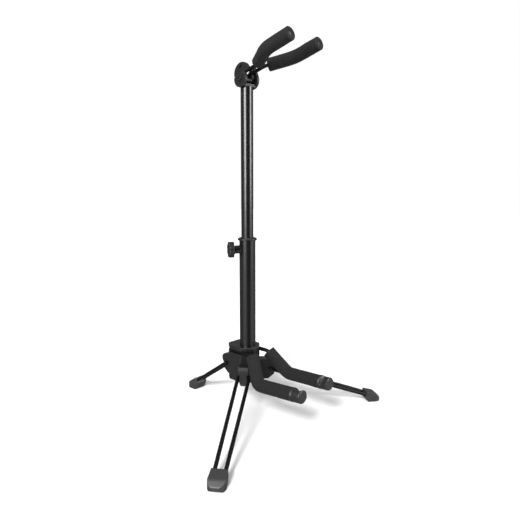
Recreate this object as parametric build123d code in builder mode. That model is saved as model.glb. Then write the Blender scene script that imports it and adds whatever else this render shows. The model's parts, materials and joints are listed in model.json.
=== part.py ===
from build123d import *
import os
from math import atan2, cos, degrees, hypot, radians, sin, tan

# A folding instrument stand: a moulded hub on three hairpin wire legs carries a telescoping
# column, a padded two-arm cradle and a tilting padded yoke.  Millimetres, +Z up, the origin on
# the floor under the column axis, the instrument side towards -Y.

# Column
LOWER_TUBE_R = 12.7
UPPER_TUBE_R = 9.525
LOWER_WALL = 1.6
UPPER_WALL = 1.5
LOWER_TUBE_TOP_Z = 280.0
UPPER_TUBE_TOP_Z = 511.0
UPPER_TUBE_BOTTOM_Z = 211.2
RUNNING_GAP = 0.05
COLLAR_FLANGE_R = 15.0
COLLAR_FLANGE_H = 4.5
COLLAR_SLEEVE_H = 40.0
GUIDE_FLANGE_H = 6.0
GUIDE_SPIGOT_H = 14.0

# Hub
HUB_BOTTOM_Z = 53.0
HUB_TOP_Z = 110.0
HUB_FLOOR = 3.0
HUB_SIDE_X = 22.0
HUB_FRONT_Y = -20.5
HUB_REAR_Y = 33.0
CAP_H = 5.0
HUB_BORE_R = LOWER_TUBE_R + RUNNING_GAP
SLOT_H = 6.0
SLOT_ROOF_Z = HUB_TOP_Z - CAP_H
SLOT_FLOOR_Z = SLOT_ROOF_Z - SLOT_H
CAP_SCREW_PLACES = [(0.0, -16.2), (-6.5, 28.0), (6.5, 28.0)]
CAP_SCREW_R = 1.6
CAP_SCREW_HEAD_R = 2.7
CAP_SCREW_HEAD_H = 2.2

# Legs: name, compass angle from -Y towards +X, pivot radius, foot tip radius
LEGS = [
    ("front_left", -54.5, 36.0, 228.4),
    ("front_right", 54.5, 36.0, 228.4),
    ("rear", 180.0, 45.0, 147.5),
]
LEG_WIRE_R = 2.8
LEG_PIVOT_Z = 70.0
LEG_PIVOT_HALF = 8.9
LEG_TOE_HALF = 6.9
LEG_TOE_Z = 5.5
LEG_TOE_INSET = 7.0
TONGUE_HALF = 5.7
HOOD_HALF = 7.8
FOOT_L = 26.0
FOOT_HALF = 12.4
FOOT_NECK_HALF = 10.5

# Cradle: one wire held in the hub slot, each arm padded
CRADLE_WIRE_R = 3.0
CRADLE_SLOT_X = 18.0
CRADLE_REAR_Y = 20.0
CRADLE_WIRE_Z = SLOT_FLOOR_Z + SLOT_H / 2
CRADLE_KNEE = (CRADLE_SLOT_X, -29.0, CRADLE_WIRE_Z)
CRADLE_ELBOW = (34.0, -57.0, 68.0)
CRADLE_TIP = (31.5, -141.0, 74.0)
CRADLE_CAP_L = 19.0
CRADLE_PAD_R = 10.0

# Yoke: u runs across, v forward and h up from the wires' plane
YOKE_PIVOT_Z = 521.4
YOKE_TILT = 14.0
YOKE_RISE = 9.0
YOKE_WIRE_R = 2.6
YOKE_NECK_X = 7.6
YOKE_REAR_V = -13.0
YOKE_FORK_V = 30.0
YOKE_ELBOW = (30.5, 70.0)
YOKE_TIP_V = 115.0
YOKE_PAD_R = 9.4
PAD_BORE_R = 2.9
PAD_START_U = 10.6
EAR_R = 12.3
EAR_INNER_X = 10.7
EAR_T = 4.5
LUG_INNER_X = 5.1
LUG_OUTER_X = 10.3
LUG_R = 4.8
HEAD_REAR_V = -16.5
HEAD_FRONT_V = -8.5
HEAD_HEIGHT = 5.5
HEAD_DEPTH = 2.3
INDEX_PLATE_R = 15.6
INDEX_PLATE_T = 4.5

# Height clamp
CLAMP_ANGLE = -120.0
CLAMP_Z = 266.0
CLAMP_SCREW_R = 3.0
CLAMP_PAD_R = 2.5
BOSS_R = 6.5
KNOB_R = 12.5
KNOB_T = 8.0
KNOB_FLUTES = 8

os.makedirs("parts", exist_ok=True)


def save(builder, name):
    builder.part.label = name
    export_step(builder.part, f"parts/{name}.step")


def compass(angle):
    return Vector(sin(radians(angle)), -cos(radians(angle)), 0)


def side_plane(angle):
    """Upright plane through the column axis: x runs outward at the compass angle, y runs up."""
    out = compass(angle)
    return Plane(origin=(0, 0, 0), x_dir=out, z_dir=Vector(out.Y, -out.X, 0))


def plan_plane(angle):
    """The floor plane, with x outward at the compass angle."""
    return Plane(origin=(0, 0, 0), x_dir=compass(angle), z_dir=(0, 0, 1))


def leg_slope(pivot_r, tip_r):
    """Angle of a standing leg below the horizontal, and its length from pivot to toe bend."""
    run = tip_r - LEG_TOE_INSET - pivot_r
    drop = LEG_PIVOT_Z - LEG_TOE_Z
    return atan2(drop, run), hypot(drop, run)


# ---------------------------------------------------------------- hub
HUB_OUTLINE = [
    (HUB_SIDE_X, 20.0), (12.0, HUB_REAR_Y), (-12.0, HUB_REAR_Y), (-HUB_SIDE_X, 20.0),
    (-HUB_SIDE_X, -5.0), (-5.5, HUB_FRONT_Y), (5.5, HUB_FRONT_Y), (HUB_SIDE_X, -5.0),
]
HUB_CORNER_R = 2.5
BOSS_HALF = 14.7
SIDE_STEP_Y = 7.3
SIDE_STEP_DEPTH = 1.2
LEG_ROOT_R = 15.5


def tongue_profile(pivot_r):
    """Side view of a leg's tongue: a plate whose lower outer corner is cut away."""
    return [
        (LEG_ROOT_R, HUB_BOTTOM_Z), (pivot_r - 3, HUB_BOTTOM_Z), (pivot_r + 6.5, LEG_PIVOT_Z - 9.5),
        (pivot_r + 8, LEG_PIVOT_Z - 3), (pivot_r + 8, LEG_PIVOT_Z + 9), (LEG_ROOT_R, LEG_PIVOT_Z + 9),
    ]


def hood_profile(pivot_r, tip_r):
    """Side view of the hood above a leg: its underside is the stop that the wire rests on."""
    slope, _ = leg_slope(pivot_r, tip_r)
    stop_gap = 0.25
    lift = (LEG_WIRE_R + stop_gap) / cos(slope)
    stop_out = pivot_r + 5
    stop_in = pivot_r - 4
    stop_out_z = LEG_PIVOT_Z - (stop_out - pivot_r) * tan(slope) + lift
    stop_in_z = LEG_PIVOT_Z - (stop_in - pivot_r) * tan(slope) + lift
    return [
        (LEG_ROOT_R, stop_in_z), (stop_in, stop_in_z), (stop_out, stop_out_z),
        (pivot_r + 8.5, LEG_PIVOT_Z + 6), (pivot_r + 8.5, LEG_PIVOT_Z + 12),
        (pivot_r + 4, LEG_PIVOT_Z + 16), (LEG_ROOT_R, LEG_PIVOT_Z + 17),
    ]


with BuildPart() as hub_body:
    with BuildSketch(Plane.XY.offset(HUB_BOTTOM_Z)):
        with BuildLine():
            Polyline(*HUB_OUTLINE, close=True)
        make_face()
        fillet(vertices(), HUB_CORNER_R)
    extrude(amount=SLOT_FLOOR_Z - HUB_BOTTOM_Z)
    # The flanks are stepped in behind the leg lugs.
    with BuildSketch(Plane.XY.offset(HUB_BOTTOM_Z - 1)):
        for side in (-1, 1):
            with Locations((side * (HUB_SIDE_X + 5 - SIDE_STEP_DEPTH), SIDE_STEP_Y + 10)):
                Rectangle(10, 20)
    extrude(amount=SLOT_FLOOR_Z - HUB_BOTTOM_Z - 3, mode=Mode.SUBTRACT)
    # Bosses that carry the cap, inside and behind the loop of the cradle wire
    with BuildSketch(Plane.XY.offset(SLOT_FLOOR_Z)):
        Circle(BOSS_HALF)
        with Locations((0, -15.0)):
            Rectangle(9, 9.6)
        with Locations((0, 28.0)):
            Rectangle(21, 8.6)
        fillet(vertices().group_by(Axis.Y)[0], 2.0)
    extrude(amount=SLOT_H)
    for _, angle, pivot_r, tip_r in LEGS:
        with BuildSketch(side_plane(angle)):
            with BuildLine():
                Polyline(*tongue_profile(pivot_r), close=True)
            make_face()
        extrude(amount=TONGUE_HALF, both=True)
        with BuildSketch(side_plane(angle)):
            with BuildLine():
                Polyline(*hood_profile(pivot_r, tip_r), close=True)
            make_face()
        extrude(amount=HOOD_HALF, both=True)
        with BuildSketch(side_plane(angle)):
            with Locations((pivot_r, LEG_PIVOT_Z)):
                Circle(LEG_WIRE_R + RUNNING_GAP)
        extrude(amount=HOOD_HALF + 1, both=True, mode=Mode.SUBTRACT)
    with BuildSketch(Plane.XY.offset(HUB_BOTTOM_Z + HUB_FLOOR)):
        Circle(HUB_BORE_R)
    extrude(amount=HUB_TOP_Z, mode=Mode.SUBTRACT)
    with Locations((0, 0, HUB_BOTTOM_Z + HUB_FLOOR)):
        Hole(3.1, depth=HUB_FLOOR + 1)
    with BuildSketch(Plane.XY.offset(SLOT_ROOF_Z - 14)):
        with Locations(*CAP_SCREW_PLACES):
            Circle(CAP_SCREW_R)
    extrude(amount=15, mode=Mode.SUBTRACT)
save(hub_body, "hub_body")

with BuildPart() as hub_cap:
    with BuildSketch(Plane.XY.offset(SLOT_ROOF_Z)):
        with BuildLine():
            Polyline(*HUB_OUTLINE, close=True)
        make_face()
        fillet(vertices(), HUB_CORNER_R)
        Circle(HUB_BORE_R, mode=Mode.SUBTRACT)
    extrude(amount=CAP_H)
    chamfer(faces().sort_by(Axis.Z)[-1].outer_wire().edges(), 1.0)
    with BuildSketch(Plane.XY.offset(SLOT_ROOF_Z)):
        with Locations(*CAP_SCREW_PLACES):
            Circle(CAP_SCREW_R)
    extrude(amount=CAP_H, mode=Mode.SUBTRACT)
    with BuildSketch(Plane.XY.offset(HUB_TOP_Z - CAP_SCREW_HEAD_H)):
        with Locations(*CAP_SCREW_PLACES):
            Circle(CAP_SCREW_HEAD_R + 0.2)
    extrude(amount=CAP_SCREW_HEAD_H, mode=Mode.SUBTRACT)
save(hub_cap, "hub_cap")

with BuildPart() as hub_cap_screws:
    with BuildSketch(Plane.XY.offset(HUB_TOP_Z - CAP_SCREW_HEAD_H)):
        with Locations(*CAP_SCREW_PLACES):
            Circle(CAP_SCREW_HEAD_R)
    extrude(amount=CAP_SCREW_HEAD_H)
    chamfer(edges().group_by(Axis.Z)[-1], 0.6)
    with BuildSketch(Plane.XY.offset(SLOT_ROOF_Z - 13)):
        with Locations(*CAP_SCREW_PLACES):
            Circle(CAP_SCREW_R)
    extrude(amount=13 + CAP_H - CAP_SCREW_HEAD_H)
    with BuildSketch(Plane.XY.offset(HUB_TOP_Z - 1.2)):
        with Locations(*CAP_SCREW_PLACES):
            Rectangle(3.6, 0.8)
            Rectangle(0.8, 3.6)
    extrude(amount=2, mode=Mode.SUBTRACT)
save(hub_cap_screws, "hub_cap_screws")

# ---------------------------------------------------------------- lower column
PLUG_H = 20.0
BASE_BOLT_R = 3.0
TUBE_BASE_Z = HUB_BOTTOM_Z + HUB_FLOOR
LOWER_BORE_R = LOWER_TUBE_R - LOWER_WALL
UPPER_BORE_R = UPPER_TUBE_R - UPPER_WALL
clamp_out = compass(CLAMP_ANGLE)


def clamp_plane(radius):
    """Plane square to the clamp axis at the given distance from the column axis."""
    foot = clamp_out * radius
    return Plane(origin=(foot.X, foot.Y, CLAMP_Z), x_dir=(0, 0, 1), z_dir=clamp_out)


with BuildPart() as lower_tube:
    with BuildSketch(Plane.XY.offset(TUBE_BASE_Z)):
        Circle(LOWER_TUBE_R)
        Circle(LOWER_BORE_R, mode=Mode.SUBTRACT)
    extrude(amount=LOWER_TUBE_TOP_Z - TUBE_BASE_Z)
    with BuildSketch(clamp_plane(0)):
        Circle(CLAMP_PAD_R + 0.1)
    extrude(amount=LOWER_TUBE_R + 1, mode=Mode.SUBTRACT)
save(lower_tube, "lower_tube")

with BuildPart() as tube_base_plug:
    with BuildSketch(Plane.XY.offset(TUBE_BASE_Z)):
        Circle(LOWER_BORE_R)
        Circle(BASE_BOLT_R, mode=Mode.SUBTRACT)
    extrude(amount=PLUG_H)
    chamfer(edges().group_by(Axis.Z)[-1].sort_by(SortBy.LENGTH)[-1], 1.5)
save(tube_base_plug, "tube_base_plug")

WASHER_R = 9.0
WASHER_T = 1.2
with BuildPart() as base_washer:
    with BuildSketch(Plane.XY.offset(HUB_BOTTOM_Z - WASHER_T)):
        Circle(WASHER_R)
        Circle(BASE_BOLT_R + 0.1, mode=Mode.SUBTRACT)
    extrude(amount=WASHER_T)
save(base_washer, "base_washer")

BOLT_HEAD_H = 4.0
with BuildPart() as base_bolt:
    with BuildSketch(Plane.XY.offset(HUB_BOTTOM_Z - WASHER_T - BOLT_HEAD_H)):
        RegularPolygon(5.8, 6)
    extrude(amount=BOLT_HEAD_H)
    with BuildSketch(Plane.XY.offset(HUB_BOTTOM_Z - WASHER_T)):
        Circle(BASE_BOLT_R)
    extrude(amount=WASHER_T + HUB_FLOOR + PLUG_H - 4)
save(base_bolt, "base_bolt")

with BuildPart() as collar_bush:
    with BuildSketch(Plane.XZ):
        with BuildLine():
            Polyline(
                (UPPER_TUBE_R + RUNNING_GAP, LOWER_TUBE_TOP_Z - COLLAR_SLEEVE_H),
                (LOWER_BORE_R, LOWER_TUBE_TOP_Z - COLLAR_SLEEVE_H),
                (LOWER_BORE_R, LOWER_TUBE_TOP_Z),
                (COLLAR_FLANGE_R - 1, LOWER_TUBE_TOP_Z),
                (COLLAR_FLANGE_R, LOWER_TUBE_TOP_Z + 1),
                (COLLAR_FLANGE_R, LOWER_TUBE_TOP_Z + 2.6),
                (COLLAR_FLANGE_R - 2.4, LOWER_TUBE_TOP_Z + COLLAR_FLANGE_H),
                (UPPER_TUBE_R + RUNNING_GAP, LOWER_TUBE_TOP_Z + COLLAR_FLANGE_H),
                close=True,
            )
        make_face()
    revolve(axis=Axis.Z)
    with BuildSketch(clamp_plane(0)):
        Circle(CLAMP_PAD_R + 0.1)
    extrude(amount=LOWER_TUBE_R, mode=Mode.SUBTRACT)
save(collar_bush, "collar_bush")

BOSS_OUT = 20.0
with BuildPart() as clamp_boss:
    with BuildSketch(clamp_plane(LOWER_TUBE_R - 2)):
        Circle(BOSS_R)
    extrude(amount=BOSS_OUT - LOWER_TUBE_R + 2)
    chamfer(faces().sort_by(Axis(origin=(0, 0, 0), direction=clamp_out))[-1].edges(), 0.8)
    with BuildSketch(Plane.XY.offset(CLAMP_Z - 10)):
        Circle(LOWER_TUBE_R)
    extrude(amount=20, mode=Mode.SUBTRACT)
    with BuildSketch(clamp_plane(0)):
        Circle(CLAMP_SCREW_R + RUNNING_GAP)
    extrude(amount=BOSS_OUT + 1, mode=Mode.SUBTRACT)
save(clamp_boss, "clamp_boss")

# ---------------------------------------------------------------- height clamp
PAD_IN = UPPER_TUBE_R + 0.08
PAD_OUT = 14.0
KNOB_IN = 22.5

with BuildPart() as pressure_pad:
    with BuildSketch(clamp_plane(PAD_IN)):
        Circle(CLAMP_PAD_R)
    extrude(amount=PAD_OUT - PAD_IN)
save(pressure_pad, "pressure_pad")

with BuildPart() as clamp_screw:
    with BuildSketch(clamp_plane(PAD_OUT + RUNNING_GAP)):
        Circle(CLAMP_SCREW_R)
    extrude(amount=KNOB_IN + 5.5 - PAD_OUT)
save(clamp_screw, "clamp_screw")

with BuildPart() as clamp_knob:
    with BuildSketch(clamp_plane(KNOB_IN)):
        Circle(KNOB_R)
        with PolarLocations(KNOB_R + 1.6, KNOB_FLUTES):
            Circle(3.3, mode=Mode.SUBTRACT)
        fillet(vertices(), 0.9)
    extrude(amount=KNOB_T)
    fillet(faces().sort_by(Axis(origin=(0, 0, 0), direction=clamp_out))[-1].edges(), 1.0)
    fillet(faces().sort_by(Axis(origin=(0, 0, 0), direction=clamp_out))[0].edges(), 0.6)
    with BuildSketch(clamp_plane(KNOB_IN + KNOB_T - 1.2)):
        Circle(7.0)
        Circle(4.2, mode=Mode.SUBTRACT)
    extrude(amount=2, mode=Mode.SUBTRACT)
    with BuildSketch(clamp_plane(KNOB_IN - 1)):
        Circle(CLAMP_SCREW_R)
    extrude(amount=6.6, mode=Mode.SUBTRACT)
save(clamp_knob, "clamp_knob")

# ---------------------------------------------------------------- upper column
with BuildPart() as guide_bush:
    guide_base_z = UPPER_TUBE_BOTTOM_Z - 0.2 - GUIDE_FLANGE_H
    with BuildSketch(Plane.XY.offset(guide_base_z)):
        Circle(LOWER_BORE_R - RUNNING_GAP)
    extrude(amount=GUIDE_FLANGE_H)
    chamfer(edges().group_by(Axis.Z)[0], 0.8)
    with BuildSketch(Plane.XY.offset(guide_base_z + GUIDE_FLANGE_H)):
        Circle(UPPER_BORE_R - RUNNING_GAP)
    extrude(amount=GUIDE_SPIGOT_H)
    with BuildSketch(Plane.XY.offset(guide_base_z)):
        Circle(UPPER_BORE_R - 2.5)
    extrude(amount=GUIDE_FLANGE_H + GUIDE_SPIGOT_H, mode=Mode.SUBTRACT)
save(guide_bush, "guide_bush")

CLEVIS_PLUG_H = 26.0
CROSS_PIN_R = 1.5
CROSS_PIN_Z = UPPER_TUBE_TOP_Z - 12

with BuildPart() as upper_tube:
    with BuildSketch(Plane.XY.offset(UPPER_TUBE_BOTTOM_Z)):
        Circle(UPPER_TUBE_R)
        Circle(UPPER_BORE_R, mode=Mode.SUBTRACT)
    extrude(amount=UPPER_TUBE_TOP_Z - UPPER_TUBE_BOTTOM_Z)
    with BuildSketch(Plane.YZ):
        with Locations((0, CROSS_PIN_Z)):
            Circle(CROSS_PIN_R)
    extrude(amount=UPPER_TUBE_R + 1, both=True, mode=Mode.SUBTRACT)
save(upper_tube, "upper_tube")

EAR_OUTER_X = EAR_INNER_X + EAR_T
SADDLE_TOP_Z = UPPER_TUBE_TOP_Z + 4
PIVOT_BOLT_R = 2.5
yoke_forward = Vector(0, -cos(radians(YOKE_TILT)), sin(radians(YOKE_TILT)))
yoke_up = Vector(0, sin(radians(YOKE_TILT)), cos(radians(YOKE_TILT)))
# Local x is -X, local y runs forward along the fork, local z stands off the fork.
yoke_plane = Plane(
    origin=(0, 0, YOKE_PIVOT_Z + YOKE_RISE), x_dir=(-1, 0, 0), z_dir=yoke_up
)


def fork_side(offset):
    """Upright plane along the fork at a given X: local x runs forward, local y stands off the fork."""
    return Plane(
        origin=(offset, 0, YOKE_PIVOT_Z + YOKE_RISE), x_dir=yoke_forward, z_dir=yoke_forward.cross(yoke_up)
    )


with BuildPart() as yoke_clevis:
    for side in (-1, 1):
        with BuildSketch(Plane.YZ.offset(side * (EAR_INNER_X + EAR_T / 2))):
            with Locations((0, YOKE_PIVOT_Z)):
                Circle(EAR_R)
        extrude(amount=EAR_T / 2, both=True)
    chamfer(edges().group_by(Axis.X)[0] + edges().group_by(Axis.X)[-1], 0.8)
    # The right ear stands higher than the left one, with a step at its front.
    with BuildSketch(Plane.YZ.offset(EAR_INNER_X)):
        with Locations((0.5, YOKE_PIVOT_Z + 5)):
            Circle(EAR_R - 1.8)
    extrude(amount=EAR_T)
    with BuildSketch(Plane.XY.offset(UPPER_TUBE_TOP_Z - CLEVIS_PLUG_H)):
        Circle(UPPER_BORE_R)
    extrude(amount=CLEVIS_PLUG_H)
    with BuildSketch(Plane.XY.offset(UPPER_TUBE_TOP_Z)):
        RectangleRounded(2 * EAR_OUTER_X, 15, 3)
    extrude(amount=SADDLE_TOP_Z - UPPER_TUBE_TOP_Z)
    # The left ear is cut back under the fork's wire.
    with BuildSketch(fork_side(-EAR_INNER_X - EAR_T / 2)):
        with Locations((0, 11.2)):
            Rectangle(60, 30)
    extrude(amount=EAR_T / 2 + 1, both=True, mode=Mode.SUBTRACT)
    with BuildSketch(Plane.YZ):
        with Locations((0, YOKE_PIVOT_Z)):
            Circle(PIVOT_BOLT_R)
        with Locations((0, CROSS_PIN_Z)):
            Circle(CROSS_PIN_R)
    extrude(amount=EAR_OUTER_X + 1, both=True, mode=Mode.SUBTRACT)
save(yoke_clevis, "yoke_clevis")

with BuildPart() as clevis_pin:
    with BuildSketch(Plane.YZ):
        with Locations((0, CROSS_PIN_Z)):
            Circle(CROSS_PIN_R)
    extrude(amount=UPPER_TUBE_R, both=True)
save(clevis_pin, "clevis_pin")

PIVOT_HEAD_R = 4.3
PIVOT_HEAD_T = 2.4
with BuildPart() as pivot_bolt:
    with BuildSketch(Plane.YZ.offset(-EAR_OUTER_X)):
        with Locations((0, YOKE_PIVOT_Z)):
            Circle(PIVOT_BOLT_R)
    extrude(amount=2 * EAR_OUTER_X + 5)
    with BuildSketch(Plane.YZ.offset(-EAR_OUTER_X - PIVOT_HEAD_T)):
        with Locations((0, YOKE_PIVOT_Z)):
            Circle(PIVOT_HEAD_R)
    extrude(amount=PIVOT_HEAD_T)
    fillet(faces().sort_by(Axis.X)[0].edges(), 1.0)
    with BuildSketch(Plane.YZ.offset(-EAR_OUTER_X - PIVOT_HEAD_T)):
        with Locations((0, YOKE_PIVOT_Z)):
            RegularPolygon(2.0, 6)
    extrude(amount=1.4, mode=Mode.SUBTRACT)
save(pivot_bolt, "pivot_bolt")

with BuildPart() as pivot_nut:
    with BuildSketch(Plane.YZ.offset(EAR_OUTER_X)):
        with Locations((0, YOKE_PIVOT_Z)):
            RegularPolygon(4.6, 6)
            Circle(PIVOT_BOLT_R, mode=Mode.SUBTRACT)
    extrude(amount=4.0)
save(pivot_nut, "pivot_nut")

# ---------------------------------------------------------------- yoke
def yoke_wire_points():
    elbow_x, elbow_v = YOKE_ELBOW
    half = [(elbow_x, YOKE_TIP_V - 3), (elbow_x, elbow_v), (YOKE_NECK_X, YOKE_FORK_V), (YOKE_NECK_X, YOKE_REAR_V)]
    return half + [(-x, v) for x, v in reversed(half)]


YOKE_BENDS = [42.0, 16.0, YOKE_NECK_X - 0.1]
with BuildPart() as yoke_wire:
    with BuildLine(yoke_plane) as yoke_path:
        FilletPolyline(*yoke_wire_points(), radius=YOKE_BENDS + YOKE_BENDS[::-1])
    with BuildSketch(Plane(origin=yoke_path.line @ 0, z_dir=yoke_path.line % 0)):
        Circle(YOKE_WIRE_R)
    sweep()
save(yoke_wire, "yoke_wire")

HEAD_LENGTH = HEAD_FRONT_V - HEAD_REAR_V
HEAD_MID_V = (HEAD_FRONT_V + HEAD_REAR_V) / 2
TONGUE_U = 4.6
TONGUE_TOP_H = 3.0
TONGUE_FRONT_V = -3.6
HEAD_SCREW_V = -6.6
HEAD_SCREW_R = 1.6
HEAD_SCREW_HEAD_R = 2.7

with BuildPart() as head_base:
    with BuildSketch(yoke_plane.offset(-HEAD_DEPTH)):
        with Locations((0, HEAD_MID_V)):
            RectangleRounded(2 * LUG_OUTER_X, HEAD_LENGTH, 3.0)
        with Locations((0, (TONGUE_FRONT_V + HEAD_MID_V) / 2)):
            Rectangle(2 * TONGUE_U, TONGUE_FRONT_V - HEAD_MID_V)
    extrude(amount=HEAD_DEPTH)
    # Two lugs carry the fork on the cross bolt.
    for side in (-1, 1):
        with BuildSketch(fork_side(side * (LUG_INNER_X + LUG_OUTER_X) / 2)):
            with BuildLine():
                Polyline(
                    (LUG_R, 0), (LUG_R, -YOKE_RISE), (-LUG_R, -YOKE_RISE), (-LUG_R - 1, -6.0),
                    (HEAD_FRONT_V - 1.5, -HEAD_DEPTH), (HEAD_FRONT_V - 1.5, 0), close=True,
                )
            make_face()
        extrude(amount=(LUG_OUTER_X - LUG_INNER_X) / 2, both=True)
        with BuildSketch(Plane.YZ.offset(side * (LUG_INNER_X + LUG_OUTER_X) / 2)):
            with Locations((0, YOKE_PIVOT_Z)):
                Circle(LUG_R)
        extrude(amount=(LUG_OUTER_X - LUG_INNER_X) / 2, both=True)
    # A spreader between the lugs keeps them square to the bolt.
    with BuildSketch(Plane.YZ):
        with Locations((0, YOKE_PIVOT_Z)):
            Circle(LUG_R - 0.6)
    extrude(amount=LUG_INNER_X, both=True)
    with BuildSketch(Plane.YZ):
        with Locations((0, YOKE_PIVOT_Z)):
            Circle(PIVOT_BOLT_R + RUNNING_GAP)
    extrude(amount=LUG_OUTER_X + 1, both=True, mode=Mode.SUBTRACT)
    add(yoke_wire.part, mode=Mode.SUBTRACT)
    with BuildSketch(yoke_plane.offset(-HEAD_DEPTH)):
        with Locations((0, HEAD_SCREW_V)):
            Circle(HEAD_SCREW_R)
    extrude(amount=HEAD_DEPTH, mode=Mode.SUBTRACT)
save(head_base, "head_base")

with BuildPart() as head_cap:
    with BuildSketch(yoke_plane):
        with Locations((0, HEAD_MID_V)):
            RectangleRounded(2 * LUG_OUTER_X, HEAD_LENGTH, 3.0)
    extrude(amount=HEAD_HEIGHT)
    fillet(edges().group_by(Axis(origin=(0, 0, 0), direction=yoke_up))[-1], 2.0)
    with BuildSketch(yoke_plane):
        with Locations((0, (TONGUE_FRONT_V + HEAD_MID_V) / 2)):
            Rectangle(2 * TONGUE_U, TONGUE_FRONT_V - HEAD_MID_V)
    extrude(amount=TONGUE_TOP_H)
    # The half-round index plate stands on the left wire.
    with BuildSketch(fork_side(-LUG_OUTER_X + INDEX_PLATE_T / 2)):
        with Locations((-1.0, 0)):
            Circle(INDEX_PLATE_R)
        with Locations((0, -20)):
            Rectangle(60, 40, mode=Mode.SUBTRACT)
    extrude(amount=INDEX_PLATE_T / 2, both=True)
    with BuildSketch(fork_side(-LUG_OUTER_X)):
        with Locations((-0.5, 9.0)):
            SlotOverall(7.5, 4.6, rotation=25)
    extrude(amount=2.2, both=True, mode=Mode.SUBTRACT)
    add(yoke_wire.part, mode=Mode.SUBTRACT)
    with BuildSketch(yoke_plane):
        with Locations((0, HEAD_SCREW_V)):
            Circle(HEAD_SCREW_R)
    extrude(amount=HEAD_HEIGHT + 1, mode=Mode.SUBTRACT)
save(head_cap, "head_cap")

with BuildPart() as head_screw:
    with BuildSketch(yoke_plane.offset(-HEAD_DEPTH)):
        with Locations((0, HEAD_SCREW_V)):
            Circle(HEAD_SCREW_R)
    extrude(amount=HEAD_DEPTH + TONGUE_TOP_H)
    with BuildSketch(yoke_plane.offset(TONGUE_TOP_H)):
        with Locations((0, HEAD_SCREW_V)):
            Circle(HEAD_SCREW_HEAD_R - 0.9)
            RegularPolygon(1.0, 6, mode=Mode.SUBTRACT)
    extrude(amount=1.6)
save(head_screw, "head_screw")

BRIDGE_HALF = 5.6
BRIDGE_REAR_V = 9.5
BRIDGE_FRONT_V = 16.5
with BuildPart() as yoke_bridge:
    with BuildSketch(yoke_plane.offset(-3.2)):
        with Locations((0, (BRIDGE_REAR_V + BRIDGE_FRONT_V) / 2)):
            RectangleRounded(2 * BRIDGE_HALF, BRIDGE_FRONT_V - BRIDGE_REAR_V, 1.5)
    extrude(amount=6.4)
    add(yoke_wire.part, mode=Mode.SUBTRACT)
save(yoke_bridge, "yoke_bridge")

CAP_R = 4.5
WIRE_CAP_L = 9.0


def yoke_pad_start():
    """Where a yoke pad begins, on the slanted run between the neck and the elbow."""
    elbow_x, elbow_v = YOKE_ELBOW
    share = (PAD_START_U - YOKE_NECK_X) / (elbow_x - YOKE_NECK_X)
    return PAD_START_U, YOKE_FORK_V + share * (elbow_v - YOKE_FORK_V)


for name, side in (("left", 1), ("right", -1)):
    elbow_x, elbow_v = YOKE_ELBOW
    start_x, start_v = yoke_pad_start()
    with BuildPart() as yoke_pad:
        with BuildLine(yoke_plane) as pad_path:
            FilletPolyline(
                (side * start_x, start_v), (side * elbow_x, elbow_v), (side * elbow_x, YOKE_TIP_V),
                radius=YOKE_BENDS[0],
            )
        with BuildSketch(Plane(origin=pad_path.line @ 0, z_dir=pad_path.line % 0)):
            Circle(YOKE_PAD_R)
            Circle(PAD_BORE_R, mode=Mode.SUBTRACT)
        sweep()
        with BuildSketch(Plane(origin=pad_path.line @ 1, z_dir=-yoke_forward)):
            Circle(CAP_R + 0.2)
        extrude(amount=WIRE_CAP_L + 1, mode=Mode.SUBTRACT)
    save(yoke_pad, f"yoke_pad_{name}")
    with BuildPart() as yoke_wire_cap:
        with BuildSketch(Plane(origin=pad_path.line @ 1 - yoke_forward * 1.0, z_dir=-yoke_forward)):
            Circle(CAP_R)
        extrude(amount=WIRE_CAP_L)
        fillet(edges().filter_by(GeomType.CIRCLE), 0.8)
        add(yoke_wire.part, mode=Mode.SUBTRACT)
    save(yoke_wire_cap, f"yoke_wire_cap_{name}")

# ---------------------------------------------------------------- cradle
CRADLE_BENDS = [12.0, 9.0, 7.5]
CRADLE_WIRE_SHORT = 10.0


def cradle_points(side):
    """Knee, elbow and tip of one arm, and the arm's direction from elbow to tip."""
    knee, elbow, tip = (Vector(side * x, y, z) for x, y, z in (CRADLE_KNEE, CRADLE_ELBOW, CRADLE_TIP))
    return knee, elbow, tip, (tip - elbow).normalized()


def cradle_wire_points():
    halves = []
    for side in (1, -1):
        knee, elbow, tip, arm = cradle_points(side)
        rear = Vector(side * CRADLE_SLOT_X, CRADLE_REAR_Y, CRADLE_WIRE_Z)
        halves.append([tip - arm * CRADLE_WIRE_SHORT, elbow, knee, rear])
    return halves[0] + halves[1][::-1]


with BuildPart() as cradle_wire:
    with BuildLine() as cradle_path:
        FilletPolyline(*cradle_wire_points(), radius=CRADLE_BENDS + CRADLE_BENDS[::-1])
    with BuildSketch(Plane(origin=cradle_path.line @ 0, z_dir=cradle_path.line % 0)):
        Circle(CRADLE_WIRE_R)
    sweep()
save(cradle_wire, "cradle_wire")

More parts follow.
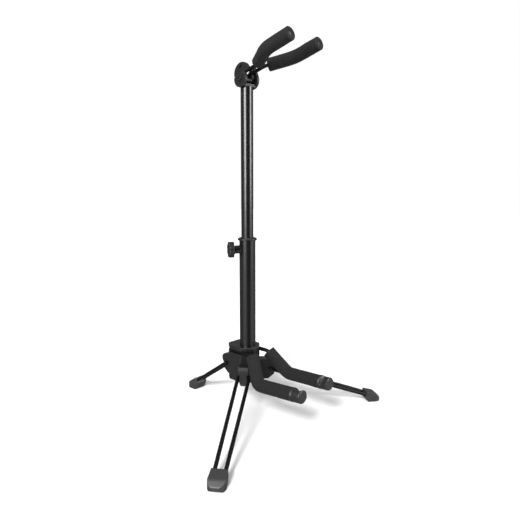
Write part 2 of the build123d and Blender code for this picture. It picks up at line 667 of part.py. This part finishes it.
CRADLE_PAD_OFFSET = 0.5
SCOOP_LEAN = 35.0
CAP_RING_L = 3.5
for name, side in (("left", -1), ("right", 1)):
    knee, elbow, tip, arm = cradle_points(side)
    pad_start = knee + (elbow - knee).normalized() * CRADLE_PAD_OFFSET
    pad_end = tip - arm * CRADLE_CAP_L
    with BuildPart() as cradle_pad:
        with BuildLine() as pad_path:
            FilletPolyline(pad_start, elbow, pad_end, radius=CRADLE_BENDS[0])
        with BuildSketch(Plane(origin=pad_path.line @ 0, z_dir=pad_path.line % 0)):
            Circle(CRADLE_PAD_R)
        sweep()
        add(cradle_wire.part, mode=Mode.SUBTRACT)
    save(cradle_pad, f"cradle_pad_{name}")

    with BuildPart() as cradle_end:
        with BuildSketch(Plane(origin=pad_end, z_dir=arm)):
            Circle(CRADLE_PAD_R + 0.3)
        extrude(amount=CAP_RING_L)
        with BuildSketch(Plane(origin=pad_end + arm * CAP_RING_L, z_dir=arm)):
            Circle(CRADLE_PAD_R - 0.2)
        extrude(amount=CRADLE_CAP_L - CAP_RING_L)
        fillet(faces().sort_by(Axis.Y)[0].edges(), 2.0)
        # A saddle is scooped out of the side that leans in and up.
        lean = Vector(-side * sin(radians(SCOOP_LEAN)), 0, cos(radians(SCOOP_LEAN)))
        with BuildSketch(Plane(origin=pad_end, x_dir=arm, z_dir=arm.cross(lean))):
            with BuildLine():
                Polyline((4.0, 12), (6.5, 4.8), (15.0, 4.8), (18.0, 8.6), (18.0, 12), close=True)
            make_face()
            fillet(vertices().group_by(Axis.Y)[0], 2.0)
        extrude(amount=14, both=True, mode=Mode.SUBTRACT)
        add(cradle_wire.part, mode=Mode.SUBTRACT)
    save(cradle_end, f"cradle_end_{name}")

# ---------------------------------------------------------------- legs
LEG_BENDS = [3.1, 6.5, 6.5, 3.1]
for name, angle, pivot_r, tip_r in LEGS:
    out = compass(angle)
    across = Vector(-out.Y, out.X, 0)
    slope, leg_l = leg_slope(pivot_r, tip_r)
    down_leg = out * cos(slope) - Vector(0, 0, sin(slope))
    pivot = out * pivot_r + Vector(0, 0, LEG_PIVOT_Z)
    leg_plane = Plane(origin=pivot, x_dir=down_leg, z_dir=down_leg.cross(across))
    with BuildPart() as leg_wire:
        with BuildLine(leg_plane) as leg_path:
            FilletPolyline(
                (0, 1.2), (0, LEG_PIVOT_HALF), (leg_l, LEG_TOE_HALF),
                (leg_l, -LEG_TOE_HALF), (0, -LEG_PIVOT_HALF), (0, -1.2),
                radius=LEG_BENDS,
            )
        with BuildSketch(Plane(origin=leg_path.line @ 0, z_dir=leg_path.line % 0)):
            Circle(LEG_WIRE_R)
        sweep()
    save(leg_wire, f"leg_{name}")

    neck_r = tip_r - FOOT_L
    neck_z = LEG_TOE_Z + (tip_r - LEG_TOE_INSET - neck_r) * tan(slope)
    shell = 5.5
    with BuildPart() as foot:
        with BuildSketch(plan_plane(angle)):
            with BuildLine():
                Polyline(
                    (neck_r - 6, FOOT_NECK_HALF), (tip_r, FOOT_HALF),
                    (tip_r, -FOOT_HALF), (neck_r - 6, -FOOT_NECK_HALF), close=True,
                )
            make_face()
            fillet(vertices().group_by(Axis.X)[-1], 8.5)
        extrude(amount=45)
        with BuildSketch(side_plane(angle)):
            with BuildLine():
                Polyline(
                    (tip_r - 22, 0), (tip_r - 2, 0), (tip_r, 2), (tip_r, 6.5), (tip_r - 7, 12.5),
                    (neck_r + shell * sin(slope), neck_z + shell * cos(slope)),
                    (neck_r - shell * sin(slope), neck_z - shell * cos(slope)),
                    close=True,
                )
            make_face()
            fillet(vertices().sort_by_distance((tip_r - 7, 12.5))[0], 8.0)
            fillet(vertices().sort_by_distance((tip_r, 6.5))[0], 3.0)
        extrude(amount=FOOT_HALF + 1, both=True, mode=Mode.INTERSECT)
        add(leg_wire.part, mode=Mode.SUBTRACT)
    save(foot, f"foot_{name}")
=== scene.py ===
import bpy
import json
import math
from mathutils import Matrix, Vector, noise


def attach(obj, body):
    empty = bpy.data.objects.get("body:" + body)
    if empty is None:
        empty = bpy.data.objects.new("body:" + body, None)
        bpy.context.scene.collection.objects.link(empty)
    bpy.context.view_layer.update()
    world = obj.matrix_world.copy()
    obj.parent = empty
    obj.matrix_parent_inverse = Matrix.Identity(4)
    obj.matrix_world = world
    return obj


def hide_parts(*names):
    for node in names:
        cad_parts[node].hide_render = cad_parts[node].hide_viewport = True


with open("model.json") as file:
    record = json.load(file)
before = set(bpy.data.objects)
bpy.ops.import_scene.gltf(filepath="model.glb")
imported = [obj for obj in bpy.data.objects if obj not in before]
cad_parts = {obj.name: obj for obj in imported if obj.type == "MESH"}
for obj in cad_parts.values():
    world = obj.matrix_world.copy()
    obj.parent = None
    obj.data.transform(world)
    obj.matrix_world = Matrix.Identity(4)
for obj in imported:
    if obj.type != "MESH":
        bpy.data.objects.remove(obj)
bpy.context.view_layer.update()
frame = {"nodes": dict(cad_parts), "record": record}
NODES = frame["nodes"]
MM = 0.001


# ------------------------------------------------------------------ materials
def material(name):
    mat = bpy.data.materials.new(name)
    mat.use_nodes = True
    tree = mat.node_tree
    shader = tree.nodes["Principled BSDF"]
    return mat, tree, shader


def add_node(tree, kind, **sockets):
    node = tree.nodes.new(kind)
    for key, value in sockets.items():
        node.inputs[key].default_value = value
    return node


def object_space(tree):
    return add_node(tree, "ShaderNodeTexCoord").outputs["Object"]


def noise_field(tree, scale, detail=2.0):
    field = add_node(tree, "ShaderNodeTexNoise", Scale=scale, Detail=detail, Roughness=0.5)
    tree.links.new(object_space(tree), field.inputs["Vector"])
    return field.outputs["Fac"]


def ramp(tree, source, stops):
    """Greys by level at spots from 0 to 1."""
    node = tree.nodes.new("ShaderNodeValToRGB")
    elements = node.color_ramp.elements
    while len(elements) < len(stops):
        elements.new(0.5)
    for element, (spot, level) in zip(elements, stops):
        element.position = spot
        element.color = (level, level, level, 1.0)
    tree.links.new(source, node.inputs["Fac"])
    return node.outputs["Color"]


def grey_ramp(tree, source, low, high, start=0.3, end=0.7):
    return ramp(tree, source, [(start, low), (end, high)])


# Places of the colour sockets on a Mix node
MIX_FACTOR, MIX_FIRST, MIX_SECOND, MIX_RESULT = 0, 6, 7, 2


def mix(tree, factor, first, second):
    node = tree.nodes.new("ShaderNodeMix")
    node.data_type = "RGBA"
    tree.links.new(factor, node.inputs[MIX_FACTOR])
    for value, index in ((first, MIX_FIRST), (second, MIX_SECOND)):
        if isinstance(value, tuple):
            node.inputs[index].default_value = (*value, 1.0)
        else:
            tree.links.new(value, node.inputs[index])
    return node.outputs[MIX_RESULT]


def grain(tree, scale):
    """Small cells, as a distance from each cell's centre."""
    cells = add_node(tree, "ShaderNodeTexVoronoi", Scale=scale)
    tree.links.new(object_space(tree), cells.inputs["Vector"])
    return cells.outputs["Distance"]


def bump(tree, shader, source, strength, distance, under=None):
    node = add_node(tree, "ShaderNodeBump", Strength=strength, Distance=distance)
    tree.links.new(source, node.inputs["Height"])
    if under is not None:
        tree.links.new(under, node.inputs["Normal"])
    tree.links.new(node.outputs["Normal"], shader.inputs["Normal"])
    return node.outputs["Normal"]


WEAR_REACH = 0.6 * MM
WEAR_NONE = 0.01
WEAR_FULL = 0.12


def edge_wear(tree):
    """White along sharp edges, broken up by noise, where the surface has rubbed."""
    rounded = add_node(tree, "ShaderNodeBevel", Radius=WEAR_REACH)
    rounded.samples = 4
    geometry = tree.nodes.new("ShaderNodeNewGeometry")
    facing = tree.nodes.new("ShaderNodeVectorMath")
    facing.operation = "DOT_PRODUCT"
    tree.links.new(rounded.outputs["Normal"], facing.inputs[0])
    tree.links.new(geometry.outputs["Normal"], facing.inputs[1])
    edges = grey_ramp(tree, facing.outputs["Value"], 1.0, 0.0, 1.0 - WEAR_FULL, 1.0 - WEAR_NONE)
    patches = grey_ramp(tree, noise_field(tree, 260.0, 4.0), 0.0, 1.0, 0.42, 0.62)
    node = tree.nodes.new("ShaderNodeMath")
    node.operation = "MULTIPLY"
    tree.links.new(edges, node.inputs[0])
    tree.links.new(patches, node.inputs[1])
    return node.outputs[0]


def worn(tree, shader, tone, bare):
    """A base colour that gives way to the bare one along the edges."""
    tree.links.new(mix(tree, edge_wear(tree), tone, bare), shader.inputs["Base Color"])


def roughness(tree, shader, scale, low, high, detail=4.0):
    field = noise_field(tree, scale, detail)
    tree.links.new(grey_ramp(tree, field, low, high), shader.inputs["Roughness"])


# Noise scales are in turns a metre, bump distances in metres.
def painted_metal():
    """Black powder coat on steel: a satin film with a fine orange peel."""
    mat, tree, shader = material("black_powder_coat")
    flecks = noise_field(tree, 1400.0, 3.0)
    tone = mix(tree, flecks, (0.0022, 0.0022, 0.0027), (0.0040, 0.0040, 0.0047))
    worn(tree, shader, tone, (0.045, 0.045, 0.048))
    roughness(tree, shader, 2200.0, 0.25, 0.30, detail=3.0)
    shader.inputs["Coat Weight"].default_value = 0.12
    shader.inputs["Coat Roughness"].default_value = 0.2
    peel = bump(tree, shader, noise_field(tree, 2400.0), 0.05, 0.00003)
    bump(tree, shader, noise_field(tree, 420.0, 1.0), 0.015, 0.00004, peel)
    return mat


def dipped_wire():
    """The bent wires: the same black, duller and rougher than on the tubes."""
    mat, tree, shader = material("black_dipped_wire")
    flecks = noise_field(tree, 1400.0, 3.0)
    tone = mix(tree, flecks, (0.0020, 0.0020, 0.0024), (0.0038, 0.0038, 0.0044))
    worn(tree, shader, tone, (0.03, 0.03, 0.032))
    roughness(tree, shader, 1800.0, 0.36, 0.44, detail=3.0)
    shader.inputs["Specular IOR Level"].default_value = 0.16
    bump(tree, shader, noise_field(tree, 1600.0), 0.06, 0.00004)
    return mat


def moulded_plastic():
    """Black nylon: a spark-eroded grain that scatters a soft highlight."""
    mat, tree, shader = material("black_moulded_plastic")
    flecks = noise_field(tree, 900.0, 3.0)
    tone = mix(tree, flecks, (0.0045, 0.0045, 0.0052), (0.0075, 0.0075, 0.0085))
    worn(tree, shader, tone, (0.04, 0.04, 0.043))
    roughness(tree, shader, 500.0, 0.34, 0.44)
    coarse = bump(tree, shader, grain(tree, 1700.0), 0.16, 0.00015)
    bump(tree, shader, noise_field(tree, 420.0, 3.0), 0.06, 0.0002, coarse)
    return mat


def foam():
    """Closed-cell foam: charcoal, matt, with a fine pebble of cut cells."""
    mat, tree, shader = material("black_closed_cell_foam")
    clouds = noise_field(tree, 260.0, 4.0)
    tone = mix(tree, clouds, (0.0038, 0.0038, 0.0043), (0.0062, 0.0062, 0.0068))
    cells = grain(tree, 1150.0)
    specks = grey_ramp(tree, cells, 0.0, 1.0, 0.25, 0.9)
    speckled = mix(tree, specks, tone, (0.0115, 0.0115, 0.0122))
    tree.links.new(speckled, shader.inputs["Base Color"])
    roughness(tree, shader, 400.0, 0.75, 0.92, detail=3.0)
    shader.inputs["Sheen Weight"].default_value = 0.015
    shader.inputs["Sheen Roughness"].default_value = 0.6
    shader.inputs["Specular IOR Level"].default_value = 0.22
    pores = bump(tree, shader, cells, 0.5, 0.0004)
    bump(tree, shader, noise_field(tree, 170.0, 3.0), 0.2, 0.0008, pores)
    return mat


def rubber(name, dark, light):
    """Moulded rubber: a dull charcoal skin, faintly dusty."""
    mat, tree, shader = material(name)
    low, high = ((level, level, level * 1.05) for level in (dark, light))
    worn(tree, shader, mix(tree, noise_field(tree, 320.0, 4.0), low, high), (0.065, 0.065, 0.068))
    roughness(tree, shader, 500.0, 0.34, 0.46)
    fine = bump(tree, shader, noise_field(tree, 1500.0, 3.0), 0.14, 0.00015)
    bump(tree, shader, noise_field(tree, 420.0), 0.05, 0.0002, fine)
    return mat


def blackened_steel():
    """Black-oxide screws and nuts: darker metal, rubbed brighter on the corners."""
    mat, tree, shader = material("blackened_steel")
    flecks = noise_field(tree, 900.0, 4.0)
    tone = mix(tree, flecks, (0.020, 0.020, 0.022), (0.036, 0.036, 0.040))
    worn(tree, shader, tone, (0.22, 0.22, 0.23))
    shader.inputs["Metallic"].default_value = 0.7
    roughness(tree, shader, 900.0, 0.28, 0.42)
    bump(tree, shader, noise_field(tree, 1800.0, 3.0), 0.12, 0.0001)
    return mat


LOOKS = {
    "black_metal": painted_metal(),
    "black_plastic": moulded_plastic(),
    "black_foam": foam(),
    "black_rubber": rubber("black_moulded_rubber", 0.0190, 0.0285),
    "dark_fasteners": blackened_steel(),
}

END_RUBBER = rubber("black_rubber_end", 0.0075, 0.0120)
WIRE_LOOK = dipped_wire()
WIRES = ("leg_front_left", "leg_front_right", "leg_rear", "cradle_wire", "yoke_wire")

SLOT_OF = {part["node"]: part["material_slot"] for part in frame["record"]["subparts"]}


def dress(obj, look):
    if not obj.material_slots:
        obj.data.materials.append(look)
    for index in range(len(obj.material_slots)):
        obj.material_slots[index].link = "OBJECT"
        obj.material_slots[index].material = look


for node, obj in NODES.items():
    dress(obj, WIRE_LOOK if node in WIRES else LOOKS[SLOT_OF[node]])

# ------------------------------------------------------------------ camera, light and floor
CAMERA_BEARING = -44.5
CAMERA_REACH = 0.7617
CAMERA_HEIGHT = 0.3584
CAMERA_DOWN = 8.2
CAMERA_TURN = 1.49
LENS = 33.72


def bearing_vectors(bearing):
    turn = math.radians(bearing)
    ahead = Vector((-math.sin(turn), math.cos(turn), 0))
    right = Vector((math.cos(turn), math.sin(turn), 0))
    return ahead, right


def aim(obj, place_at, forward):
    facing = forward.to_track_quat("-Z", "Y").to_matrix().to_4x4()
    obj.matrix_world = Matrix.Translation(place_at) @ facing


AHEAD, RIGHT = bearing_vectors(CAMERA_BEARING)


def link(name, data):
    obj = bpy.data.objects.new(name, data)
    bpy.context.scene.collection.objects.link(obj)
    return obj


def stand_camera():
    turn = math.radians(CAMERA_TURN)
    down = math.radians(CAMERA_DOWN)
    level = AHEAD * math.cos(turn) + RIGHT * math.sin(turn)
    forward = level * math.cos(down) - Vector((0, 0, math.sin(down)))
    camera = link("camera", bpy.data.cameras.new("camera"))
    camera.data.lens = LENS
    camera.data.sensor_width = 36.0
    camera.data.clip_start = 0.01
    aim(camera, -AHEAD * CAMERA_REACH + Vector((0, 0, CAMERA_HEIGHT)), forward)
    bpy.context.scene.camera = camera


stand_camera()
MIDDLE = Vector((0, 0, 0.27))


def softbox(name, turn_right, distance, height, size, power):
    """A softbox seen only in reflections, turned right from the camera's side of the object."""
    angle = math.radians(turn_right)
    place_at = (-AHEAD * math.cos(angle) + RIGHT * math.sin(angle)) * distance + Vector((0, 0, height))
    light = bpy.data.lights.new(name, "AREA")
    light.shape = "RECTANGLE"
    light.size, light.size_y = size
    light.energy = power
    obj = link(name, light)
    obj.visible_diffuse = False
    aim(obj, place_at, (MIDDLE - place_at).normalized())


softbox("softbox_left", -36.0, 1.7, 1.0, (0.85, 1.5), 74.0)
softbox("strip_right", 71.0, 1.7, 1.0, (0.62, 1.5), 46.0)
softbox("overhead", 0.0, 0.2, 1.9, (0.8, 0.8), 8.0)

# The light that falls on the floor: soft, from above the camera's left shoulder.
KEY_POWER = 4.3
KEY_SOFTNESS = 14.0
KEY_RUN = AHEAD * 0.092 + RIGHT * 0.033 - Vector((0, 0, 0.07))


def key_light():
    sun = link("key", bpy.data.lights.new("key", "SUN"))
    sun.data.energy = KEY_POWER
    sun.data.angle = math.radians(KEY_SOFTNESS)
    sun.visible_glossy = False
    aim(sun, Vector((0, 0, 2)), KEY_RUN.normalized())


key_light()

# Brightness of the room: what the camera sees, what lights matt surfaces, and what shows in
# reflections low down and high up, from the camera's side (0) to straight ahead of it (1).
SEEN = 1.0
FILL = 0.62
DARK_SIDE = 14.0
LOW_REFLECTION = [(0.0, 0.01), (0.035, 0.03), (0.12, 0.9), (0.3, 1.0), (0.5, 0.35), (1.0, 0.2)]
HIGH_REFLECTION = [(0.0, 0.01), (0.05, 0.02), (0.3, 0.12), (0.6, 0.2), (1.0, 0.3)]
LOW_TO_HIGH = 0.1


def map_range(tree, source, low, high):
    node = tree.nodes.new("ShaderNodeMapRange")
    node.inputs["From Min"].default_value = low
    node.inputs["From Max"].default_value = high
    tree.links.new(source, node.inputs["Value"])
    return node.outputs["Result"]


def studio_world(tree):
    """A white room: white where the camera looks, a softer fill on matt surfaces, and in
    reflections dark from the side where the camera stands, with pale floor to left and right."""
    where = tree.nodes.new("ShaderNodeTexCoord").outputs["Generated"]
    towards = tree.nodes.new("ShaderNodeVectorMath")
    towards.operation = "DOT_PRODUCT"
    off = math.radians(DARK_SIDE)
    towards.inputs[1].default_value = AHEAD * math.cos(off) - RIGHT * math.sin(off)
    tree.links.new(where, towards.inputs[0])
    around = map_range(tree, towards.outputs["Value"], -1.0, 1.0)
    low = ramp(tree, around, LOW_REFLECTION)
    high = ramp(tree, around, HIGH_REFLECTION)
    parts = tree.nodes.new("ShaderNodeSeparateXYZ")
    tree.links.new(where, parts.inputs[0])
    rise = map_range(tree, parts.outputs["Z"], -LOW_TO_HIGH, LOW_TO_HIGH)
    glossy = mix(tree, rise, low, high)
    ray = tree.nodes.new("ShaderNodeLightPath")
    unseen = mix(tree, ray.outputs["Is Glossy Ray"], (FILL,) * 3, glossy)
    colour = mix(tree, ray.outputs["Is Camera Ray"], unseen, (SEEN,) * 3)
    tree.links.new(colour, tree.nodes["Background"].inputs["Color"])


world = bpy.data.worlds.new("studio")
bpy.context.scene.world = world
world.use_nodes = True
studio_world(world.node_tree)
bpy.context.scene.view_settings.view_transform = "Standard"


FLOOR_HALF = 6.0


def backdrop():
    corners = [(x * FLOOR_HALF, y * FLOOR_HALF, 0) for x, y in ((-1, -1), (1, -1), (1, 1), (-1, 1))]
    mesh = bpy.data.meshes.new("floor")
    mesh.from_pydata(corners, [], [(0, 1, 2, 3)])
    obj = link("floor", mesh)
    mat, tree, shader = material("pale_floor")
    tone = mix(tree, noise_field(tree, 0.8), (0.90, 0.90, 0.90), (0.93, 0.93, 0.93))
    tree.links.new(tone, shader.inputs["Base Color"])
    shader.inputs["Roughness"].default_value = 0.9
    shader.inputs["Specular IOR Level"].default_value = 0.0
    mesh.materials.append(mat)
    obj.visible_glossy = False


backdrop()


# ------------------------------------------------------------------ foam sleeves
STEP = 0.8 * MM


def rounded_route(points, radius):
    """Points along straight runs joined by arcs of one radius."""
    route = [points[0]]
    for before, corner, after in zip(points, points[1:], points[2:]):
        back = (before - corner).normalized()
        on = (after - corner).normalized()
        half = back.angle(on) / 2
        reach = radius / math.tan(half)
        centre = corner + (back + on).normalized() * (radius / math.sin(half))
        start = (corner + back * reach - centre).normalized()
        finish = (corner + on * reach - centre).normalized()
        count = max(6, int(start.angle(finish) * radius / STEP))
        for index in range(count + 1):
            route.append(centre + start.slerp(finish, index / count).normalized() * radius)
    route.append(points[-1])
    return route


def even_route(route):
    """The same route with its points evenly spaced, and its length."""
    lengths = [0.0]
    for first, second in zip(route, route[1:]):
        lengths.append(lengths[-1] + (second - first).length)
    total = lengths[-1]
    count = int(total / STEP)
    result = []
    spot = 0
    for index in range(count + 1):
        wanted = total * index / count
        while spot < len(lengths) - 2 and lengths[spot + 1] < wanted:
            spot += 1
        share = (wanted - lengths[spot]) / max(lengths[spot + 1] - lengths[spot], 1e-9)
        result.append(route[spot].lerp(route[spot + 1], min(share, 1.0)))
    return result, total


SIDES = 64
OUTER_LIP = 1.1 * MM
INNER_LIP = 0.5 * MM
CUT_CROWN = 0.1 * MM
BORE_DEPTH = 14 * MM
# The surface's slow swelling and its finer unevenness: how far and how often
SWELLING = (0.35 * MM, 38)
UNEVENNESS = (0.12 * MM, 150)


def cut_end(radius, bore):
    """Rings of a cut end from deep in the bore to the outside: depth below the cut, ring radius,
    and how much of the surface's unevenness each one takes."""
    rings = [(BORE_DEPTH * share, bore, 0.3) for share in (1.0, 0.6, 0.25, 0.08)]
    for share in (0.0, 0.5, 1.0):
        rise = math.sin(share * math.pi / 2)
        rings.append((INNER_LIP * (1 - share), bore + INNER_LIP * rise, 0.4))
    rings.append((-CUT_CROWN, (bore + radius) / 2, 0.5))
    for share in (0.0, 0.3, 0.6, 0.85):
        angle = share * math.pi / 2
        below, inside = OUTER_LIP * (1 - math.cos(angle)), OUTER_LIP * (1 - math.sin(angle))
        rings.append((below, radius - inside, 0.8))
    return rings


def sleeve(name, route, radius, bore, seed):
    """A foam tube on a wire: soft cut lips, an open bore at each end, and the slight swelling
    and unevenness of real foam pushed round a bend."""
    path, total = even_route(route)
    last = len(path) - 1
    first_side = (path[1] - path[0]).normalized()
    last_side = (path[-1] - path[-2]).normalized()
    across = first_side.cross(last_side).normalized()
    shift = Vector((seed * 3.1, seed * 1.7, seed * 0.9))
    vertices = []

    def ring(centre, direction, size, share):
        up = direction.cross(across).normalized()
        for index in range(SIDES):
            angle = 2 * math.pi * index / SIDES
            out = across * math.cos(angle) + up * math.sin(angle)
            spot = centre + out * size
            soft = sum(noise.noise(spot * often + shift) * far for far, often in (SWELLING, UNEVENNESS))
            vertices.append(spot + out * soft * share)

    end = cut_end(radius, bore)
    for depth, size, share in end:
        ring(path[0] + first_side * depth, first_side, size, share)
    for index, spot in enumerate(path):
        if OUTER_LIP <= total * index / last <= total - OUTER_LIP:
            before, after = path[max(index - 1, 0)], path[min(index + 1, last)]
            ring(spot, (after - before).normalized(), radius, 1.0)
    for depth, size, share in reversed(end):
        ring(path[-1] - last_side * depth, last_side, size, share)

    faces = []
    for first in range(0, len(vertices) - SIDES, SIDES):
        for index in range(SIDES):
            after = (index + 1) % SIDES
            faces.append((first + index, first + after, first + SIDES + after, first + SIDES + index))
    mesh = bpy.data.meshes.new(name)
    mesh.from_pydata(vertices, [], faces)
    for face in mesh.polygons:
        face.use_smooth = True
    mesh.update()
    mesh.materials.append(LOOKS["black_foam"])
    return link(name, mesh)


def vec(*numbers):
    return Vector([number * MM for number in numbers])


# Yoke: the arms lie in a plane that rises towards the tips, just above the pivot.
YOKE_TILT = math.radians(14.0)
YOKE_ROOT = vec(0, 0, 530.4)
YOKE_AHEAD = Vector((0, -math.cos(YOKE_TILT), math.sin(YOKE_TILT)))
YOKE_ROUTE = [(10.6, 35.24), (30.5, 70.0), (30.5, 115.0)]
YOKE_BEND = 42 * MM
YOKE_FOAM = (9.4 * MM, 2.8 * MM)
for name, side in (("left", -1), ("right", 1)):
    corners = [YOKE_ROOT + vec(side * x, 0, 0) + YOKE_AHEAD * v * MM for x, v in YOKE_ROUTE]
    piece = sleeve(f"yoke_foam_{name}", rounded_route(corners, YOKE_BEND), *YOKE_FOAM, 1 + side)
    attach(piece, "yoke")
    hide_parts(f"yoke_pad_{name}")

# Cradle: each arm drops from the hub's slot to an elbow, then rises a little to its moulded end.
CRADLE_BEND = 12 * MM
CRADLE_FOAM = (10 * MM, 3.05 * MM)
CRADLE_START = 0.5 * MM
CRADLE_END = 19 * MM
for name, side in (("left", -1), ("right", 1)):
    knee = vec(side * 18, -29, 102)
    elbow = vec(side * 34, -57, 68)
    tip = vec(side * 31.5, -141, 74)
    start = knee + (elbow - knee).normalized() * CRADLE_START
    finish = tip + (elbow - tip).normalized() * CRADLE_END
    route = rounded_route([start, elbow, finish], CRADLE_BEND)
    piece = sleeve(f"cradle_foam_{name}", route, *CRADLE_FOAM, 5 + side)
    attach(piece, "base")
    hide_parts(f"cradle_pad_{name}")


# ------------------------------------------------------------------ moulded rubber
def softened(node, name, body, look, voxel, passes):
    """A moulded rubber piece: the CAD solid with every edge rounded off."""
    obj = link(name, NODES[node].data.copy())
    remesh = obj.modifiers.new("remesh", "REMESH")
    remesh.mode = "VOXEL"
    remesh.voxel_size = voxel
    smooth = obj.modifiers.new("smooth", "SMOOTH")
    smooth.factor = 0.5
    smooth.iterations = passes
    ready = obj.evaluated_get(bpy.context.evaluated_depsgraph_get())
    mesh = bpy.data.meshes.new_from_object(ready)
    obj.modifiers.clear()
    obj.data = mesh
    for face in mesh.polygons:
        face.use_smooth = True
    mesh.materials.clear()
    mesh.materials.append(look)
    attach(obj, body)
    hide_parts(node)


FOOT_VOXEL, FOOT_PASSES = 0.4 * MM, 10
END_VOXEL, END_PASSES = 0.35 * MM, 6
for leg in ("front_left", "front_right", "rear"):
    softened(f"foot_{leg}", f"rubber_foot_{leg}", f"leg_{leg}_swing", LOOKS["black_rubber"],
             FOOT_VOXEL, FOOT_PASSES)
for side in ("left", "right"):
    softened(f"cradle_end_{side}", f"rubber_cradle_end_{side}", "base", END_RUBBER,
             END_VOXEL, END_PASSES)
